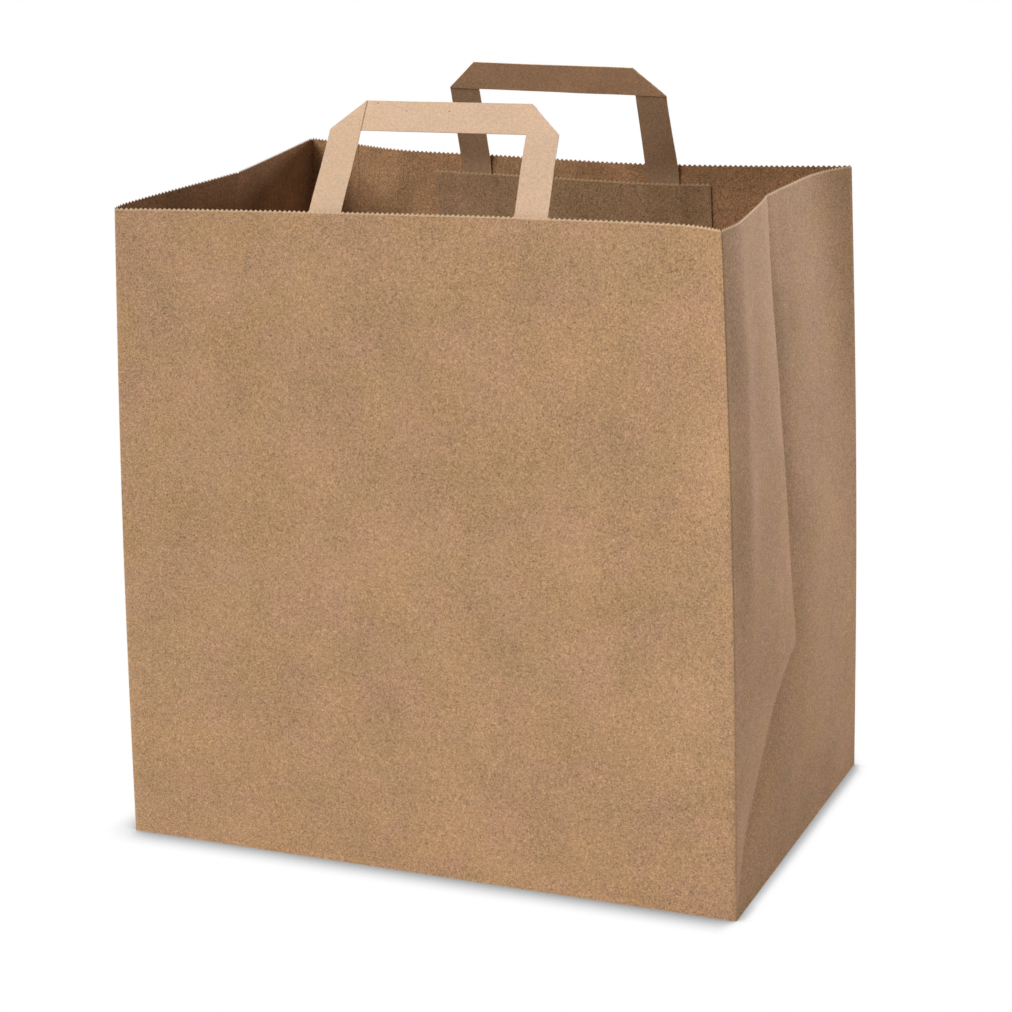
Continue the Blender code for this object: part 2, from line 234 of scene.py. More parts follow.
@lru_cache(maxsize=None)
def wall_inward(wall, share, level):
    """Inward direction of a wall, from its slope over a small step each way."""
    low_share, high_share = max(share - slope_step, 0), min(share + slope_step, 1)
    low_level, high_level = max(level - slope_step, 0), min(level + slope_step, 1)
    along = wall_face(wall, high_share, level) - wall_face(wall, low_share, level)
    upward = wall_face(wall, share, high_level) - wall_face(wall, share, low_level)
    return upward.cross(along).normalized()


def wall_point(wall, share, level, inset):
    """Point at a depth under the wall's outer face, mitred where two faces meet in a fold."""
    point = wall_face(wall, share, level)
    if share == 0:
        before = wall_inward(wall_names[wall_names.index(wall) - 1], 1, level)
        after = wall_inward(wall, fold_side, level)
    elif share == 1:
        before = wall_inward(wall, 1 - fold_side, level)
        after = wall_inward(wall_names[(wall_names.index(wall) + 1) % 4], 0, level)
    else:
        before = wall_inward(wall, max(share - fold_side, 0), level)
        after = wall_inward(wall, min(share + fold_side, 1), level)
    return point + (before + after) / (1 + before.dot(after)) * inset


# %% [markdown]
# ## Small helpers
# A finished piece is a mesh whose object stays at the origin. Paper edges are crisp, while its
# curved faces are smooth, so one helper marks every sharp edge by its angle once the
# thickness is there.


# %% Helpers for pieces
def grid_places(bm):
    """Whole-number column and row of each vertex of a fresh grid."""
    across = sorted({round(vertex.co.x, 5) for vertex in bm.verts})
    upward = sorted({round(vertex.co.y, 5) for vertex in bm.verts})
    column = {value: index for index, value in enumerate(across)}
    row = {value: index for index, value in enumerate(upward)}
    places = {}
    for vertex in bm.verts:
        places[column[round(vertex.co.x, 5)], row[round(vertex.co.y, 5)]] = vertex
    return places


def paper_grid(columns, rows):
    """A flat grid with so many columns and rows of vertices, and its vertices by place."""
    bm = bmesh.new()
    bm.verts.layers.float.new("fold")
    bm.verts.layers.float.new("cut")
    bm.verts.layers.float.new("leg")
    bmesh.ops.create_grid(bm, x_segments=columns - 1, y_segments=rows - 1, size=0.5)
    return bm, grid_places(bm)


def finish_piece(name, bm, thickness, offset, node, crisp=radians(38)):
    """A smooth piece with its thickness, its crisp edges marked, riding on the root body."""
    mesh = bpy.data.meshes.new(name)
    bm.to_mesh(mesh)
    bm.free()
    piece = bpy.data.objects.new(name, mesh)
    bpy.context.scene.collection.objects.link(piece)
    solid = piece.modifiers.new("thickness", "SOLIDIFY")
    solid.thickness = thickness
    solid.offset = offset
    solid.use_even_offset = True
    solid.use_quality_normals = True
    solid.material_offset = 1
    solid.material_offset_rim = 2
    for _ in range(3):
        mesh.materials.append(None)
    depsgraph = bpy.context.evaluated_depsgraph_get()
    finished = bpy.data.meshes.new_from_object(piece.evaluated_get(depsgraph))
    piece.modifiers.clear()
    piece.data = finished
    finished.name = name
    bm = bmesh.new()
    bm.from_mesh(finished)
    for face in bm.faces:
        face.smooth = True
    for edge in bm.edges:
        edge.smooth = len(edge.link_faces) == 2 and edge.calc_face_angle(0) < crisp
    bm.to_mesh(finished)
    bm.free()
    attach(piece, "root")
    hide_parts(node)
    triangles = sum(len(face.vertices) - 2 for face in finished.polygons)
    print(name, "triangles:", triangles)
    return piece


# %% [markdown]
# ## The sheet
# On the machine the bag is one strip of paper, wound round a former and glued over itself.
# Here it is a flat grid as well, with a column of vertices at every fold, that one function
# carries to its place: it starts under the glued lap, goes round the four walls and ends on
# top of its own beginning. A grid keeps the paper one piece, as five plates would not.

# %% Columns and rows of the sheet
panel_columns, side_columns = 124, 80
lap_columns = 15
lower_rows, upper_rows = 40, 50
fold_round = 0.8 * MM
cut_width = 0.5 * MM


def spread(wall, first, last, count, length):
    """Even shares along a wall, with two more beside each fold for its rounding."""
    shares = {first + (last - first) * index / count for index in range(count + 1)}
    folds = [0, 1] + ([0.5] if wall in ("left", "right") else [])
    for fold in folds:
        for side in (-1, 1):
            share = fold + side * fold_round / length
            if first < share < last:
                shares.add(share)
    return [(wall, share) for share in sorted(shares)]


stops = spread("rear", lap_start / bag_width, 1, lap_columns, bag_width)[:-1]
stops += spread("left", 0, 1, side_columns, bag_depth)[:-1]
stops += spread("front", 0, 1, panel_columns, bag_width)[:-1]
stops += spread("right", 0, 1, side_columns, bag_depth)[:-1]
stops += spread("rear", 0, lap_end / bag_width, panel_columns - lap_columns + 7, bag_width)

heights = [half_depth * index / lower_rows for index in range(lower_rows)]
top_height = bag_height - tooth_height
for index in range(upper_rows + 1):
    heights.append(half_depth + (top_height - half_depth) * index / upper_rows)
heights += [fold_round, top_height - cut_width]
heights.sort()
print("columns:", len(stops), "rows:", len(heights))

# %% [markdown]
# ### Paper is never flat
# Between its folds the paper waves a little, has soft dents where it was handled, and bulges
# beside the old folds of the right side. It could be sculpted or left to a simulation. Here
# each dent and bulge is one smooth bump with a place and a size, so it can be moved, measured
# and made the same way on every run.

# %% Where each point of the sheet lies
inner_columns = lap_columns + 1
layer_gap = 1.15 * sheet
wave_length, wave_depth = 62 * MM, 0.55 * MM
ripple_length, ripple_depth = 24 * MM, 0.14 * MM
still_edge = 14 * MM

# The right wall's bumps: sizes in metres, and their places and widths as shares of the wall
rear_bulge, rear_bulge_run, rear_bulge_end, rear_bulge_foot = 3.4 * MM, 0.1, 0.5, 60 * MM
crease_depth, crease_run, crease_start, crease_foot = 2.6 * MM, 0.09, 0.12, 50 * MM
ridge_height, ridge_place, ridge_run = 1.6 * MM, 0.12, 0.06
ridge_foot, ridge_growth = 90 * MM, 120 * MM
old_fold, old_fold_start, old_fold_rise, old_fold_width = 0.45 * MM, 0.02, 60 * MM, 3 * MM
rim_band, rim_share = 70 * MM, 0.35

# A dent is its share along the wall, its share of the height, its width, height and depth in mm
dents = {
    "rear": (
        (0.735, 0.88, 14, 10, 1.6),
        (0.66, 0.93, 18, 12, -1.0),
        (0.80, 0.90, 9, 16, 1.2),
        (0.70, 0.80, 16, 14, -1.2),
        (0.86, 0.84, 14, 20, -0.8),
        (0.20, 0.90, 22, 14, 1.0),
        (0.12, 0.84, 14, 20, -1.0),
        (0.93, 0.93, 8, 22, 1.0),
    ),
    "left": (
        (0.25, 0.86, 14, 30, 1.4),
        (0.72, 0.80, 18, 26, 1.2),
        (0.55, 0.9, 8, 20, -0.9),
    ),
}


def side_relief(share, height):
    """Bulges of the right wall: behind its valley, beside the front corner, along the old fold."""
    behind = share - valley_share(height)
    below_rim = ease((bag_height - height) / rim_band)
    bulge = line = 0.0
    if behind > 0:
        bulge = rear_bulge * (1 - exp(-behind / rear_bulge_run))
        bulge *= ease((1 - share) / rear_bulge_end) * ease(height / rear_bulge_foot)
    pressed = -crease_depth * exp(-abs(behind) / crease_run)
    pressed *= ease(share / crease_start) * ease(height / crease_foot)
    beside = ridge_height * exp(-((share - ridge_place) / ridge_run) ** 2)
    beside *= ease((height - ridge_foot) / ridge_growth)
    if behind > old_fold_start:
        line = old_fold * exp(-abs(height - half_depth - old_fold_rise * behind) / old_fold_width)
    return (bulge + pressed + beside) * (rim_share + (1 - rim_share) * below_rim) + line


def crumple(wall, share, height):
    """Soft unevenness of the paper, measured outwards."""
    length = bag_width if wall in ("front", "rear") else bag_depth
    edge = min(share, 1 - share) * length
    fade = ease(edge / still_edge) * ease(height / still_edge)
    place = Vector((share * length, wall_names.index(wall) * 3.1, height))
    swell = noise.noise(place / wave_length) * wave_depth
    swell += noise.noise(place / ripple_length) * ripple_depth
    for at, level, wide, tall, depth in dents.get(wall, ()):
        across = (share - at) * length / (wide * MM)
        upward = (height - level * bag_height) / (tall * MM)
        swell -= depth * MM * exp(-across * across - upward * upward)
    if wall == "right":
        swell += side_relief(share, height)
    return swell * fade


def sheet_point(column, height):
    """Place of the sheet's outer face, with its two layers apart in the glued lap."""
    wall, share = stops[column]
    level = height / bag_height
    inset = 0.0
    if wall == "rear" and share * bag_width > lap_start - MM and column < inner_columns:
        over_end = max(share * bag_width - lap_end, 0) / lap_from_corner
        inset = layer_gap * (1 - over_end)
    return wall_point(wall, share, level, inset - crumple(wall, share, height))


# %% Fold the sheet
bm, places = paper_grid(len(stops), len(heights))
closeness = bm.verts.layers.float["fold"]
cut_layer = bm.verts.layers.float["cut"]
for (column, row), vertex in places.items():
    vertex.co = sheet_point(column, heights[row])

bm.normal_update()
if places[stops.index(("front", 0.5)), lower_rows].normal.y > 0:
    bmesh.ops.reverse_faces(bm, faces=bm.faces[:])

# Upright folds are rounded: each of their points is pulled towards its two neighbours
fold_columns = [column for column, (wall, share) in enumerate(stops) if share == 0]
for column in fold_columns:
    for row in range(len(heights)):
        before, after = places[column - 1, row], places[column + 1, row]
        places[column, row].co = (before.co + after.co) / 2 * 0.6 + places[column, row].co * 0.4
        places[column, row][closeness] = 1.0
creases = [column for column, stop in enumerate(stops) if stop in (("left", 0.5), ("right", 0.5))]
for column in creases:
    for row in range(len(heights)):
        if heights[row] >= half_depth:
            places[column, row][closeness] = 1.0
for column in range(len(stops)):
    places[column, 0][closeness] = 1.0

# %% Crease the slanted folds
whole_rows = [row for row, height in enumerate(heights) if height != fold_round]
for wall in ("left", "right"):
    by_step = {}
    for column, (name, share) in enumerate(stops):
        step = share * side_columns
        if name == wall and abs(step - round(step)) < 1e-6:
            by_step[round(step)] = column
    by_step[side_columns] = max(by_step.values()) + 2
    for step in range(1, lower_rows):
        folds = [(step, step + 1), (side_columns - step, side_columns - step - 1)]
        for near, far in folds[:1] if wall == "right" else folds:
            low = places[by_step[near], whole_rows[step]]
            high = places[by_step[far], whole_rows[step + 1]]
            low[closeness] = high[closeness] = 1.0
            if set(low.link_faces) & set(high.link_faces):
                bmesh.ops.connect_verts(bm, verts=[low, high])

# %% Cut the toothed rim
shortest_toothed = 2 * MM
rim_row = len(heights) - 1
rim = [places[column, rim_row] for column in range(len(stops))]
# The cut attribute marks the rim, which the outside paints pale: the bare fibres of the cut and a painted
# highlight
for vertex in rim:
    vertex[closeness] = 0.0
    vertex[cut_layer] = 1.0
rim_edges = []
for near, far in zip(rim, rim[1:]):
    edge = bm.edges.get((near, far))
    if edge.calc_length() > shortest_toothed:
        rim_edges.append(edge)
cut = bmesh.ops.subdivide_edges(bm, edges=rim_edges, cuts=1)
tips = [item for item in cut["geom_inner"] if isinstance(item, bmesh.types.BMVert)]
for tip in tips:
    tip.co.z += tooth_height
print("teeth round the rim:", len(tips))

# %% [markdown]
# ## The block bottom
# The foot of the tube is folded inwards in four flaps. The two short ones end in a point and
# lie inside, the rear one comes next, and the front one closes the bottom on the outside, its
# toothed edge a little past the middle. Each flap is a few points and one face, and the
# toothed edge comes from cutting one edge and moving every second point.

# %% Fold in the flaps
reach = half_width - half_depth
over = flap_overlap / 2


def add_flap(outline, toothed=None):
    """One flap from its outline, with its outer face down."""
    points = [bm.verts.new(point) for point in outline]
    bmesh.ops.contextual_create(bm, geom=points)
    if toothed is None:
        return
    edge = bm.edges.get([points[index] for index in toothed])
    teeth = round(edge.calc_length() / tooth_pitch)
    parts = bmesh.ops.subdivide_edges(bm, edges=[edge], cuts=2 * teeth - 1)
    inside = [item for item in parts["geom_inner"] if isinstance(item, bmesh.types.BMVert)]
    inside.sort(key=lambda vertex: vertex.co.x)
    for vertex in inside[::2]:
        vertex.co.y += tooth_height


# The flaps lie on one another, each a hair higher at its fold and a sheet higher at its tip
edge_in = 0.4 * MM
side_fold, rear_fold = 0.02 * MM, 0.01 * MM
side_tip, rear_tip = 2.2 * sheet, 1.1 * sheet
wide, deep = half_width - edge_in, half_depth - edge_in
for side in (-1, 1):
    corner = side * wide
    outline = [(corner, -deep, side_fold), (corner, deep, side_fold), (side * reach, 0, side_tip)]
    add_flap(outline[::side])
rear_flap = [(wide, deep, rear_fold), (-wide, deep, rear_fold), (-reach, 0, rear_tip)]
rear_flap += [(over - reach, -over, rear_tip), (reach - over, -over, rear_tip)]
rear_flap += [(reach, 0, rear_tip)]
add_flap(rear_flap)
front_flap = [(-wide, -deep, 0), (wide, -deep, 0), (reach, 0, 0)]
front_flap += [(reach - over, over, 0), (over - reach, over, 0), (-reach, 0, 0)]
add_flap(front_flap, toothed=(3, 4))
bm.normal_update()
flaps = [face for face in bm.faces if len(face.verts) != 4 and abs(face.normal.z) > 0.9]
flaps = [face for face in flaps if face.calc_center_median().z < MM]
bmesh.ops.reverse_faces(bm, faces=[face for face in flaps if face.normal.z > 0])
bag = finish_piece("bag_sheet", bm, sheet, -1, "bag_body")

# %% [markdown]
# ## The handles
# Each handle is one straight tape, 19.8 mm wide. At each corner it is turned over along a
# slanted line, which swings it by a right angle and leaves two layers in the corner. The code
# does the same: a straight grid is cut along both slanted lines and everything beyond a line
# is mirrored in it. The last step stands the flat handle up along its panel.

# %% Sizes of the handles and patches
tape_width, tape_thickness = 19.8 * MM, 0.5 * MM
leg_gap = 103.5 * MM
leg_free_length, leg_bend_length, leg_glued_length = 56 * MM, 12 * MM, 38 * MM
patch_length, patch_height, patch_below_rim = 180 * MM, 45 * MM, 11 * MM
seat_gap, bulge_slope = 0.3 * MM, 6 * MM
tooth_band = 8 * MM
handle_shift = {"front": 5.8 * MM, "rear": 12.4 * MM}
leg_converge = {"front": 2.4 * MM, "rear": 0.9 * MM}
leg_rise = {"front": (2.6 * MM, 1.1 * MM), "rear": (-0.6 * MM, -0.7 * MM)}
leg_lean = {"front": radians(31.5), "rear": radians(19)}
bar_lean = {"front": radians(44.5), "rear": radians(31.5)}
bar_slide = {"front": -2.0 * MM, "rear": 1.8 * MM}
leg_reach = leg_gap / 2 + tape_width / 2


def on_panel(wall, across, below, depth):
    """Point inside the front or rear panel: across to the right, down from the rim, inwards."""
    way = 1 if wall == "front" else -1
    share = 0.5 + way * (across + handle_shift[wall]) / bag_width
    height = bag_height - below
    swell = crumple(wall, share, height)
    return wall_point(wall, share, height / bag_height, sheet + depth - swell)


def panel_tilt(wall, across):
    """How far a panel leans inwards below the patch's edge, from upright."""
    low = on_panel(wall, across, patch_below_rim + tooth_band, 0)
    high = on_panel(wall, across, patch_below_rim, 0)
    return atan2(abs(high.y - low.y), high.z - low.z)


def tape_point(wall, across, along, depth):
    """Point of a handle: on the panel up to the patch's edge, curling inwards above it."""
    inwards = Vector((0, 1 if wall == "front" else -1, 0))
    upwards = Vector((0, 0, 1))
    risen = ease(along / leg_free_length)
    across *= 1 - risen * leg_converge[wall] / leg_reach
    if along <= 0:
        return on_panel(wall, across, patch_below_rim - along, seat_gap + depth)
    share = (across / leg_reach + 1) / 2
    left = on_panel(wall, -leg_reach, patch_below_rim, seat_gap)
    right = on_panel(wall, leg_reach, patch_below_rim, seat_gap)
    foot = on_panel(wall, across, patch_below_rim, seat_gap).lerp(left.lerp(right, share), risen)
    start = panel_tilt(wall, -leg_reach) * (1 - share) + panel_tilt(wall, leg_reach) * share
    bend = min(along, leg_bend_length)
    radius = leg_bend_length / (leg_lean[wall] - start)
    lean = start + bend / radius
    curve = inwards * (cos(start) - cos(lean)) + upwards * (sin(lean) - sin(start))
    left_rise, right_rise = leg_rise[wall]
    rise = left_rise * (1 - share) + right_rise * share
    leg = min(along, leg_free_length) - bend + rise * risen
    point = foot + curve * radius + (inwards * sin(lean) + upwards * cos(lean)) * leg
    bar = max(along - leg_free_length, 0)
    point += (inwards * sin(bar_lean[wall]) + upwards * cos(bar_lean[wall])) * bar
    point.x += bar_slide[wall] * bar / tape_width
    return point + (inwards * cos(lean) - upwards * sin(lean)) * depth


# %% Turn a straight tape over at two slanted lines
outer = leg_gap / 2 + tape_width
leg_length = leg_free_length + leg_glued_length
tape_length = 2 * outer + 2 * leg_length
tape_columns, tape_rows = 8, 110
turn = 0.25 * MM
tape_wave, tape_unevenness = (30 * MM, 14 * MM), 0.35 * MM


def tape_ripple(wall, across, along):
    """Soft unevenness of a tape, measured inwards."""
    if along <= 0:
        return 0.0
    place = Vector((across / tape_wave[0], along / tape_wave[1], 5.0 if wall == "rear" else 9.0))
    return noise.noise(place) * tape_unevenness * ease(along / (6 * MM))


def build_tape(wall):
    """One handle: a straight tape, cut along its turns, mirrored in them and stood up."""
    bm, places = paper_grid(tape_columns + 1, tape_rows + 1)
    # The leg attribute marks the legs, where the rear tape gets its painted shade
    leg_layer = bm.verts.layers.float["leg"]
    for (column, row), vertex in places.items():
        x = tape_width * column / tape_columns
        y = tape_length * row / tape_rows - leg_length
        vertex.co = Vector((x, y, 0))
    for sign, line in ((-1, 0), (1, 2 * outer)):
        for shift in (-turn, turn):
            geom = bm.verts[:] + bm.edges[:] + bm.faces[:]
            point = Vector((0, line + shift, 0))
            normal = Vector((sign, 1, 0)).normalized()
            bmesh.ops.bisect_plane(bm, geom=geom, plane_co=point, plane_no=normal, dist=1e-7)
    for vertex in bm.verts:
        x, y = vertex.co.x, vertex.co.y
        first, second = y - x, y + x - 2 * outer
        low, high = tape_thickness / 2, tape_thickness * 1.5
        vertex[leg_layer] = 1.0
        if first < 0 or abs(first) < turn * 0.5:
            across, along, depth = x - outer, leg_free_length + y, low
        elif second < -turn * 0.5:
            across, along, depth = y - outer, leg_free_length + x, high
            vertex[leg_layer] = 0.0
        else:
            across, along, depth = outer - x, leg_free_length + 2 * outer - y, low
        depth += tape_ripple(wall, across, along)
        vertex.co = tape_point(wall, across, along, depth)
    bm.normal_update()
    name = wall + "_handle"
    return finish_piece(name + "_tape", bm, tape_thickness * 0.9, 0, name)


front_tape = build_tape("front")
rear_tape = build_tape("rear")

# %% [markdown]
# ## The patches
# A strip of the same paper is glued over the ends of each tape, inside the bag. Both its long
# edges are toothed, it follows the panel, and it lifts over the two tape ends, where the glue
# leaves small puckers.

# %% Lay the patches over the tapes
patch_columns, patch_rows = 60, 24
glue_wave, glue_unevenness = (17 * MM, 11 * MM), 0.16 * MM


def patch_lift(across, below):
    """Distance of the patch's panel side from the panel: it lifts over the tape's legs."""
    beside = abs(abs(across) - leg_reach) - tape_width / 2
    past_end = below - patch_below_rim - leg_glued_length
    away = max(beside, past_end, 0)
    lift = 1 - ease((away - seat_gap) / bulge_slope)
    return seat_gap + (tape_thickness + seat_gap) * lift


def pucker(wall, across, below):
    """Small waves of glued paper, measured inwards from the panel."""
    place = Vector((across / glue_wave[0], below / glue_wave[1], 3.0 if wall == "rear" else 7.0))
    return glue_unevenness * (1 + noise.noise(place))


def build_patch(wall):
    """One patch: a toothed strip laid on its panel and over the two ends of the tape."""
    bm, places = paper_grid(patch_columns + 1, patch_rows + 1)
    cut_layer = bm.verts.layers.float["cut"]
    for (column, row), vertex in places.items():
        across = patch_length * (column / patch_columns - 0.5)
        span = patch_height - 2 * tooth_height
        below = patch_below_rim + tooth_height + span * (1 - row / patch_rows)
        if row == patch_rows - 1:
            below = patch_below_rim + tooth_height + cut_width
        vertex.co = Vector((across, -below, 0))
        # The cut attribute marks the toothed top edge, which gets a painted highlight
        vertex[cut_layer] = float(row == patch_rows)
    edges = []
    for row in (0, patch_rows):
        line = [places[column, row] for column in range(patch_columns + 1)]
        edges += [bm.edges.get(pair) for pair in zip(line, line[1:])]
    middle = -patch_below_rim - patch_height / 2
    cut = bmesh.ops.subdivide_edges(bm, edges=edges, cuts=1)
    for item in cut["geom_inner"]:
        if isinstance(item, bmesh.types.BMVert):
            item.co.y += copysign(tooth_height, item.co.y - middle)
    for vertex in bm.verts:
        across, below = vertex.co.x, -vertex.co.y
        depth = patch_lift(across, below) + pucker(wall, across, below)
        vertex.co = on_panel(wall, across, below, depth)
    bm.normal_update()
    inwards = 1 if wall == "front" else -1
    if sum(face.normal.y for face in bm.faces) * inwards < 0:
        bmesh.ops.reverse_faces(bm, faces=bm.faces[:])
    name = wall + "_patch"
    return finish_piece(name + "_paper", bm, sheet, 1, name)


front_patch = build_patch("front")
rear_patch = build_patch("rear")

# %% [markdown]
# ## Kraft paper
# Natural kraft is unbleached pulp, so its colour is that of wood fibres. Seen close, single
# fibres make a fine, curly grain. A step back, the sheet drifts between an olive and a pinker
# brown over a few centimetres, where the pulp was thicker or thinner, and a few dark specks of
# bark and pale splinters lie in it. It is matt. All of this can be painted, but noise that is
# measured in millimetres in object space gives every piece the same grain for nothing.


# %% Colours and nodes
def colour_of(text):
    """A linear colour with alpha, from an sRGB hex string."""
    parts = [int(text[index:index + 2], 16) / 255 for index in (0, 2, 4)]
    linear = [part / 12.92 if part <= 0.04045 else ((part + 0.055) / 1.055) ** 2.4 for part in parts]
    return (*linear, 1)


def add_node(tree, kind, links=None, **settings):
    """A node with its settings. Links give a socket a value or another node's output."""
    node = tree.nodes.new(kind)
    for key, value in settings.items():
        setattr(node, key, value)
    for key, value in (links or {}).items():
        if isinstance(value, bpy.types.NodeSocket):
            tree.links.new(value, node.inputs[key])
        else:
            node.inputs[key].default_value = value
    return node


# %% [markdown]
# ### How coarse each pattern is
# A single fibre is 0.03 mm thick, which no picture of a whole bag can show. The finest grain is
# therefore drawn at 0.8 mm, the size at which clumps of fibres are seen from a step away, with a
# coarser one of 3 mm over it. The clouds are 45 mm and the two drifts of hue 30 and 38 mm wide.

# %% The paper material
fibre_clump, pulp_clot = 0.8 * MM, 3.0 * MM
cloud_width, pink_width, tan_width = 45 * MM, 30 * MM, 38 * MM
speck_spacing, splinter_spacing = 11 * MM, 8 * MM
patterns = (
    (fibre_clump, {"Detail": 0.0, "Distortion": 1.1}),
    (pulp_clot, {"Detail": 1.0, "Roughness": 0.6}),
    (cloud_width, {"Detail": 3.0, "Roughness": 0.6}),
    (pink_width, {"Detail": 2.0, "Roughness": 0.5}),
    (tan_width, {"Detail": 2.0, "Roughness": 0.5}),
)


def kraft_paper(name, olive, pink, tan, grain=1.4, clots=0.28, clouds=0.4, wear=0.25,
                other=None):
    """Natural kraft from its three browns and the strength of its grain, clots and clouds."""
    material = bpy.data.materials.new(name)
    material.use_nodes = True
    tree = material.node_tree
    shader = tree.nodes["Principled BSDF"]
    place = add_node(tree, "ShaderNodeTexCoord").outputs["Object"]
    fibre, clot, cloud, pinkness, tanness = (
        add_node(tree, "ShaderNodeTexNoise", {"Vector": place, "Scale": 1 / width, **look}).outputs[0]
        for width, look in patterns
    )

    # The hue drifts between the three browns: sockets 6 and 7 of a Mix node are its colours
    share = add_node(tree, "ShaderNodeMapRange", {"Value": pinkness, "From Min": 0.38, "From Max": 0.62})
    paint = add_node(tree, "ShaderNodeMix", {
        "Factor": share.outputs[0], 6: colour_of(olive), 7: colour_of(pink),
    }, data_type="RGBA")
    share = add_node(tree, "ShaderNodeMapRange", {
        "Value": tanness, "From Min": 0.45, "From Max": 0.65, "To Max": 0.8,
    })
    paint = add_node(tree, "ShaderNodeMix", {
        "Factor": share.outputs[0], 6: paint.outputs[2], 7: colour_of(tan),
    }, data_type="RGBA")

    # Grain, clots and clouds make it lighter or darker about its own brightness
    shade = 1 - (grain + clots + clouds) / 2
    for pattern, strength in ((fibre, grain), (clot, clots), (cloud, clouds)):
        shade = add_node(tree, "ShaderNodeMath", {
            0: pattern, 1: strength, 2: shade,
        }, operation="MULTIPLY_ADD").outputs[0]
    paint = add_node(tree, "ShaderNodeVectorMath", {
        0: paint.outputs[2], "Scale": shade,
    }, operation="SCALE")

    # Dark specks of bark and pale splinters, a fraction of a millimetre wide
    spots = add_node(tree, "ShaderNodeTexVoronoi", {"Vector": place, "Scale": 1 / speck_spacing})
    share = add_node(tree, "ShaderNodeMapRange", {
        "Value": spots.outputs["Distance"], "From Min": 0.025, "From Max": 0.055,
        "To Min": 0.8, "To Max": 0.0,
    })
    paint = add_node(tree, "ShaderNodeMix", {
        "Factor": share.outputs[0], 6: paint.outputs[0], 7: colour_of("4a3322"),
    }, data_type="RGBA")
    spots = add_node(tree, "ShaderNodeTexVoronoi", {"Vector": place, "Scale": 1 / splinter_spacing})
    share = add_node(tree, "ShaderNodeMapRange", {
        "Value": spots.outputs["Distance"], "From Min": 0.03, "From Max": 0.075,
        "To Min": 0.5, "To Max": 0.0,
    })
    paint = add_node(tree, "ShaderNodeMix", {
        "Factor": share.outputs[0], 6: paint.outputs[2], 7: colour_of("ead0b0"),
    }, data_type="RGBA")

    # Folds are rubbed to a paler brown
    fold = add_node(tree, "ShaderNodeAttribute", attribute_name="fold").outputs["Fac"]
    worn = add_node(tree, "ShaderNodeMath", {0: fold, 1: 4.0}, operation="POWER").outputs[0]
    worn = add_node(tree, "ShaderNodeMath", {0: worn, 1: wear}, operation="MULTIPLY").outputs[0]
    paint = add_node(tree, "ShaderNodeMix", {
        "Factor": worn, 6: paint.outputs[2], 7: colour_of("dcbb98"),
    }, data_type="RGBA")

    # A part of the piece gets another colour where the named attribute is 1: a pale cut rim that is
    # partly a painted highlight, or painted shade on the rear tape's legs
    if other:
        part, other_colour, blend = other
        there = add_node(tree, "ShaderNodeAttribute", attribute_name=part).outputs["Fac"]
        paint = add_node(tree, "ShaderNodeMix", {
            "Factor": there, 6: paint.outputs[2], 7: colour_of(other_colour),
        }, data_type="RGBA", blend_type=blend)
    tree.links.new(paint.outputs[2], shader.inputs["Base Color"])

    # Matt and felted: paper has an IOR of 1.5, but its fibres scatter nearly all the gloss
    shader.inputs["Roughness"].default_value = 0.82
    shader.inputs["IOR"].default_value = 1.5
    shader.inputs["Specular IOR Level"].default_value = 0.25
    felt = add_node(tree, "ShaderNodeBump", {
        "Strength": 0.35, "Distance": 0.12 * MM, "Height": fibre,
    }).outputs[0]
    cockle = add_node(tree, "ShaderNodeBump", {
        "Strength": 0.3, "Distance": 0.5 * MM, "Height": cloud, "Normal": felt,
    }).outputs[0]
    tree.links.new(cockle, shader.inputs["Normal"])
    return material


# %% [markdown]
# ### One pulp, six looks
# Every piece is kraft, and what differs is the light and the wear it has had. The outside is
# rubbed smooth and has a pale line along its cut rim, partly the bare fibres of the cut and
# partly a painted highlight. The inside is darker, with a coarser grain and stronger blotches.
# The handle tape is lighter, as it is made from cleaner pulp. The rear tape has painted light and
# shade on both its faces: its bar is painted lighter and its legs painted darker. A cut edge shows
# bare fibres, so it is the palest. Separate materials could each be drawn by hand, but one recipe
# with six settings keeps them kin.

# %% Dress the pieces
# The pale colour along the cut rim is partly the bare fibres of the cut and partly a painted highlight of
# the lit rim
outside = kraft_paper("kraft_outside", "b4906b", "b99170", "b89269", other=("cut", "e2c6a0", "MIX"))
inside = kraft_paper(
    "kraft_inside", "ae8660", "b98c66", "a07a55", grain=1.7, clots=0.4, clouds=0.6, wear=0.1,
)
cut_edge = kraft_paper("kraft_cut_edge", "dcbc96", "d8b492", "e0c09e", grain=0.5)
tape_paper = kraft_paper(
    "kraft_tape", "d3b295", "d5b498", "d5b493", grain=0.5, clots=0.12, clouds=0.1,
)
# The rear tape's colours are painted light and shade: its bar is painted lighter and its legs painted
# darker, on both faces
rear_tape_painted_shading = kraft_paper(
    "kraft_tape_back", "ddb28a", "deb48c", "dab088", grain=0.9, clots=0.2, clouds=0.2,
    other=("leg", "cbcbcb", "MULTIPLY"),
)
# The patch's toothed top edge gets a painted highlight, a paler colour where the cut attribute is 1
patch_paper = kraft_paper(
    "kraft_patch", "a88564", "ae8a68", "a0805c", grain=1.5, clots=0.3, clouds=0.4,
    other=("cut", "d8b890", "MIX"),
)
dressing = (
    (bag, (outside, inside, cut_edge)),
    (front_tape, (tape_paper, tape_paper, cut_edge)),
    (rear_tape, (rear_tape_painted_shading, rear_tape_painted_shading, cut_edge)),
    (front_patch, (patch_paper, patch_paper, cut_edge)),
    (rear_patch, (patch_paper, patch_paper, cut_edge)),
)
for piece, materials in dressing:
    for index, material in enumerate(materials):
        piece.data.materials[index] = material

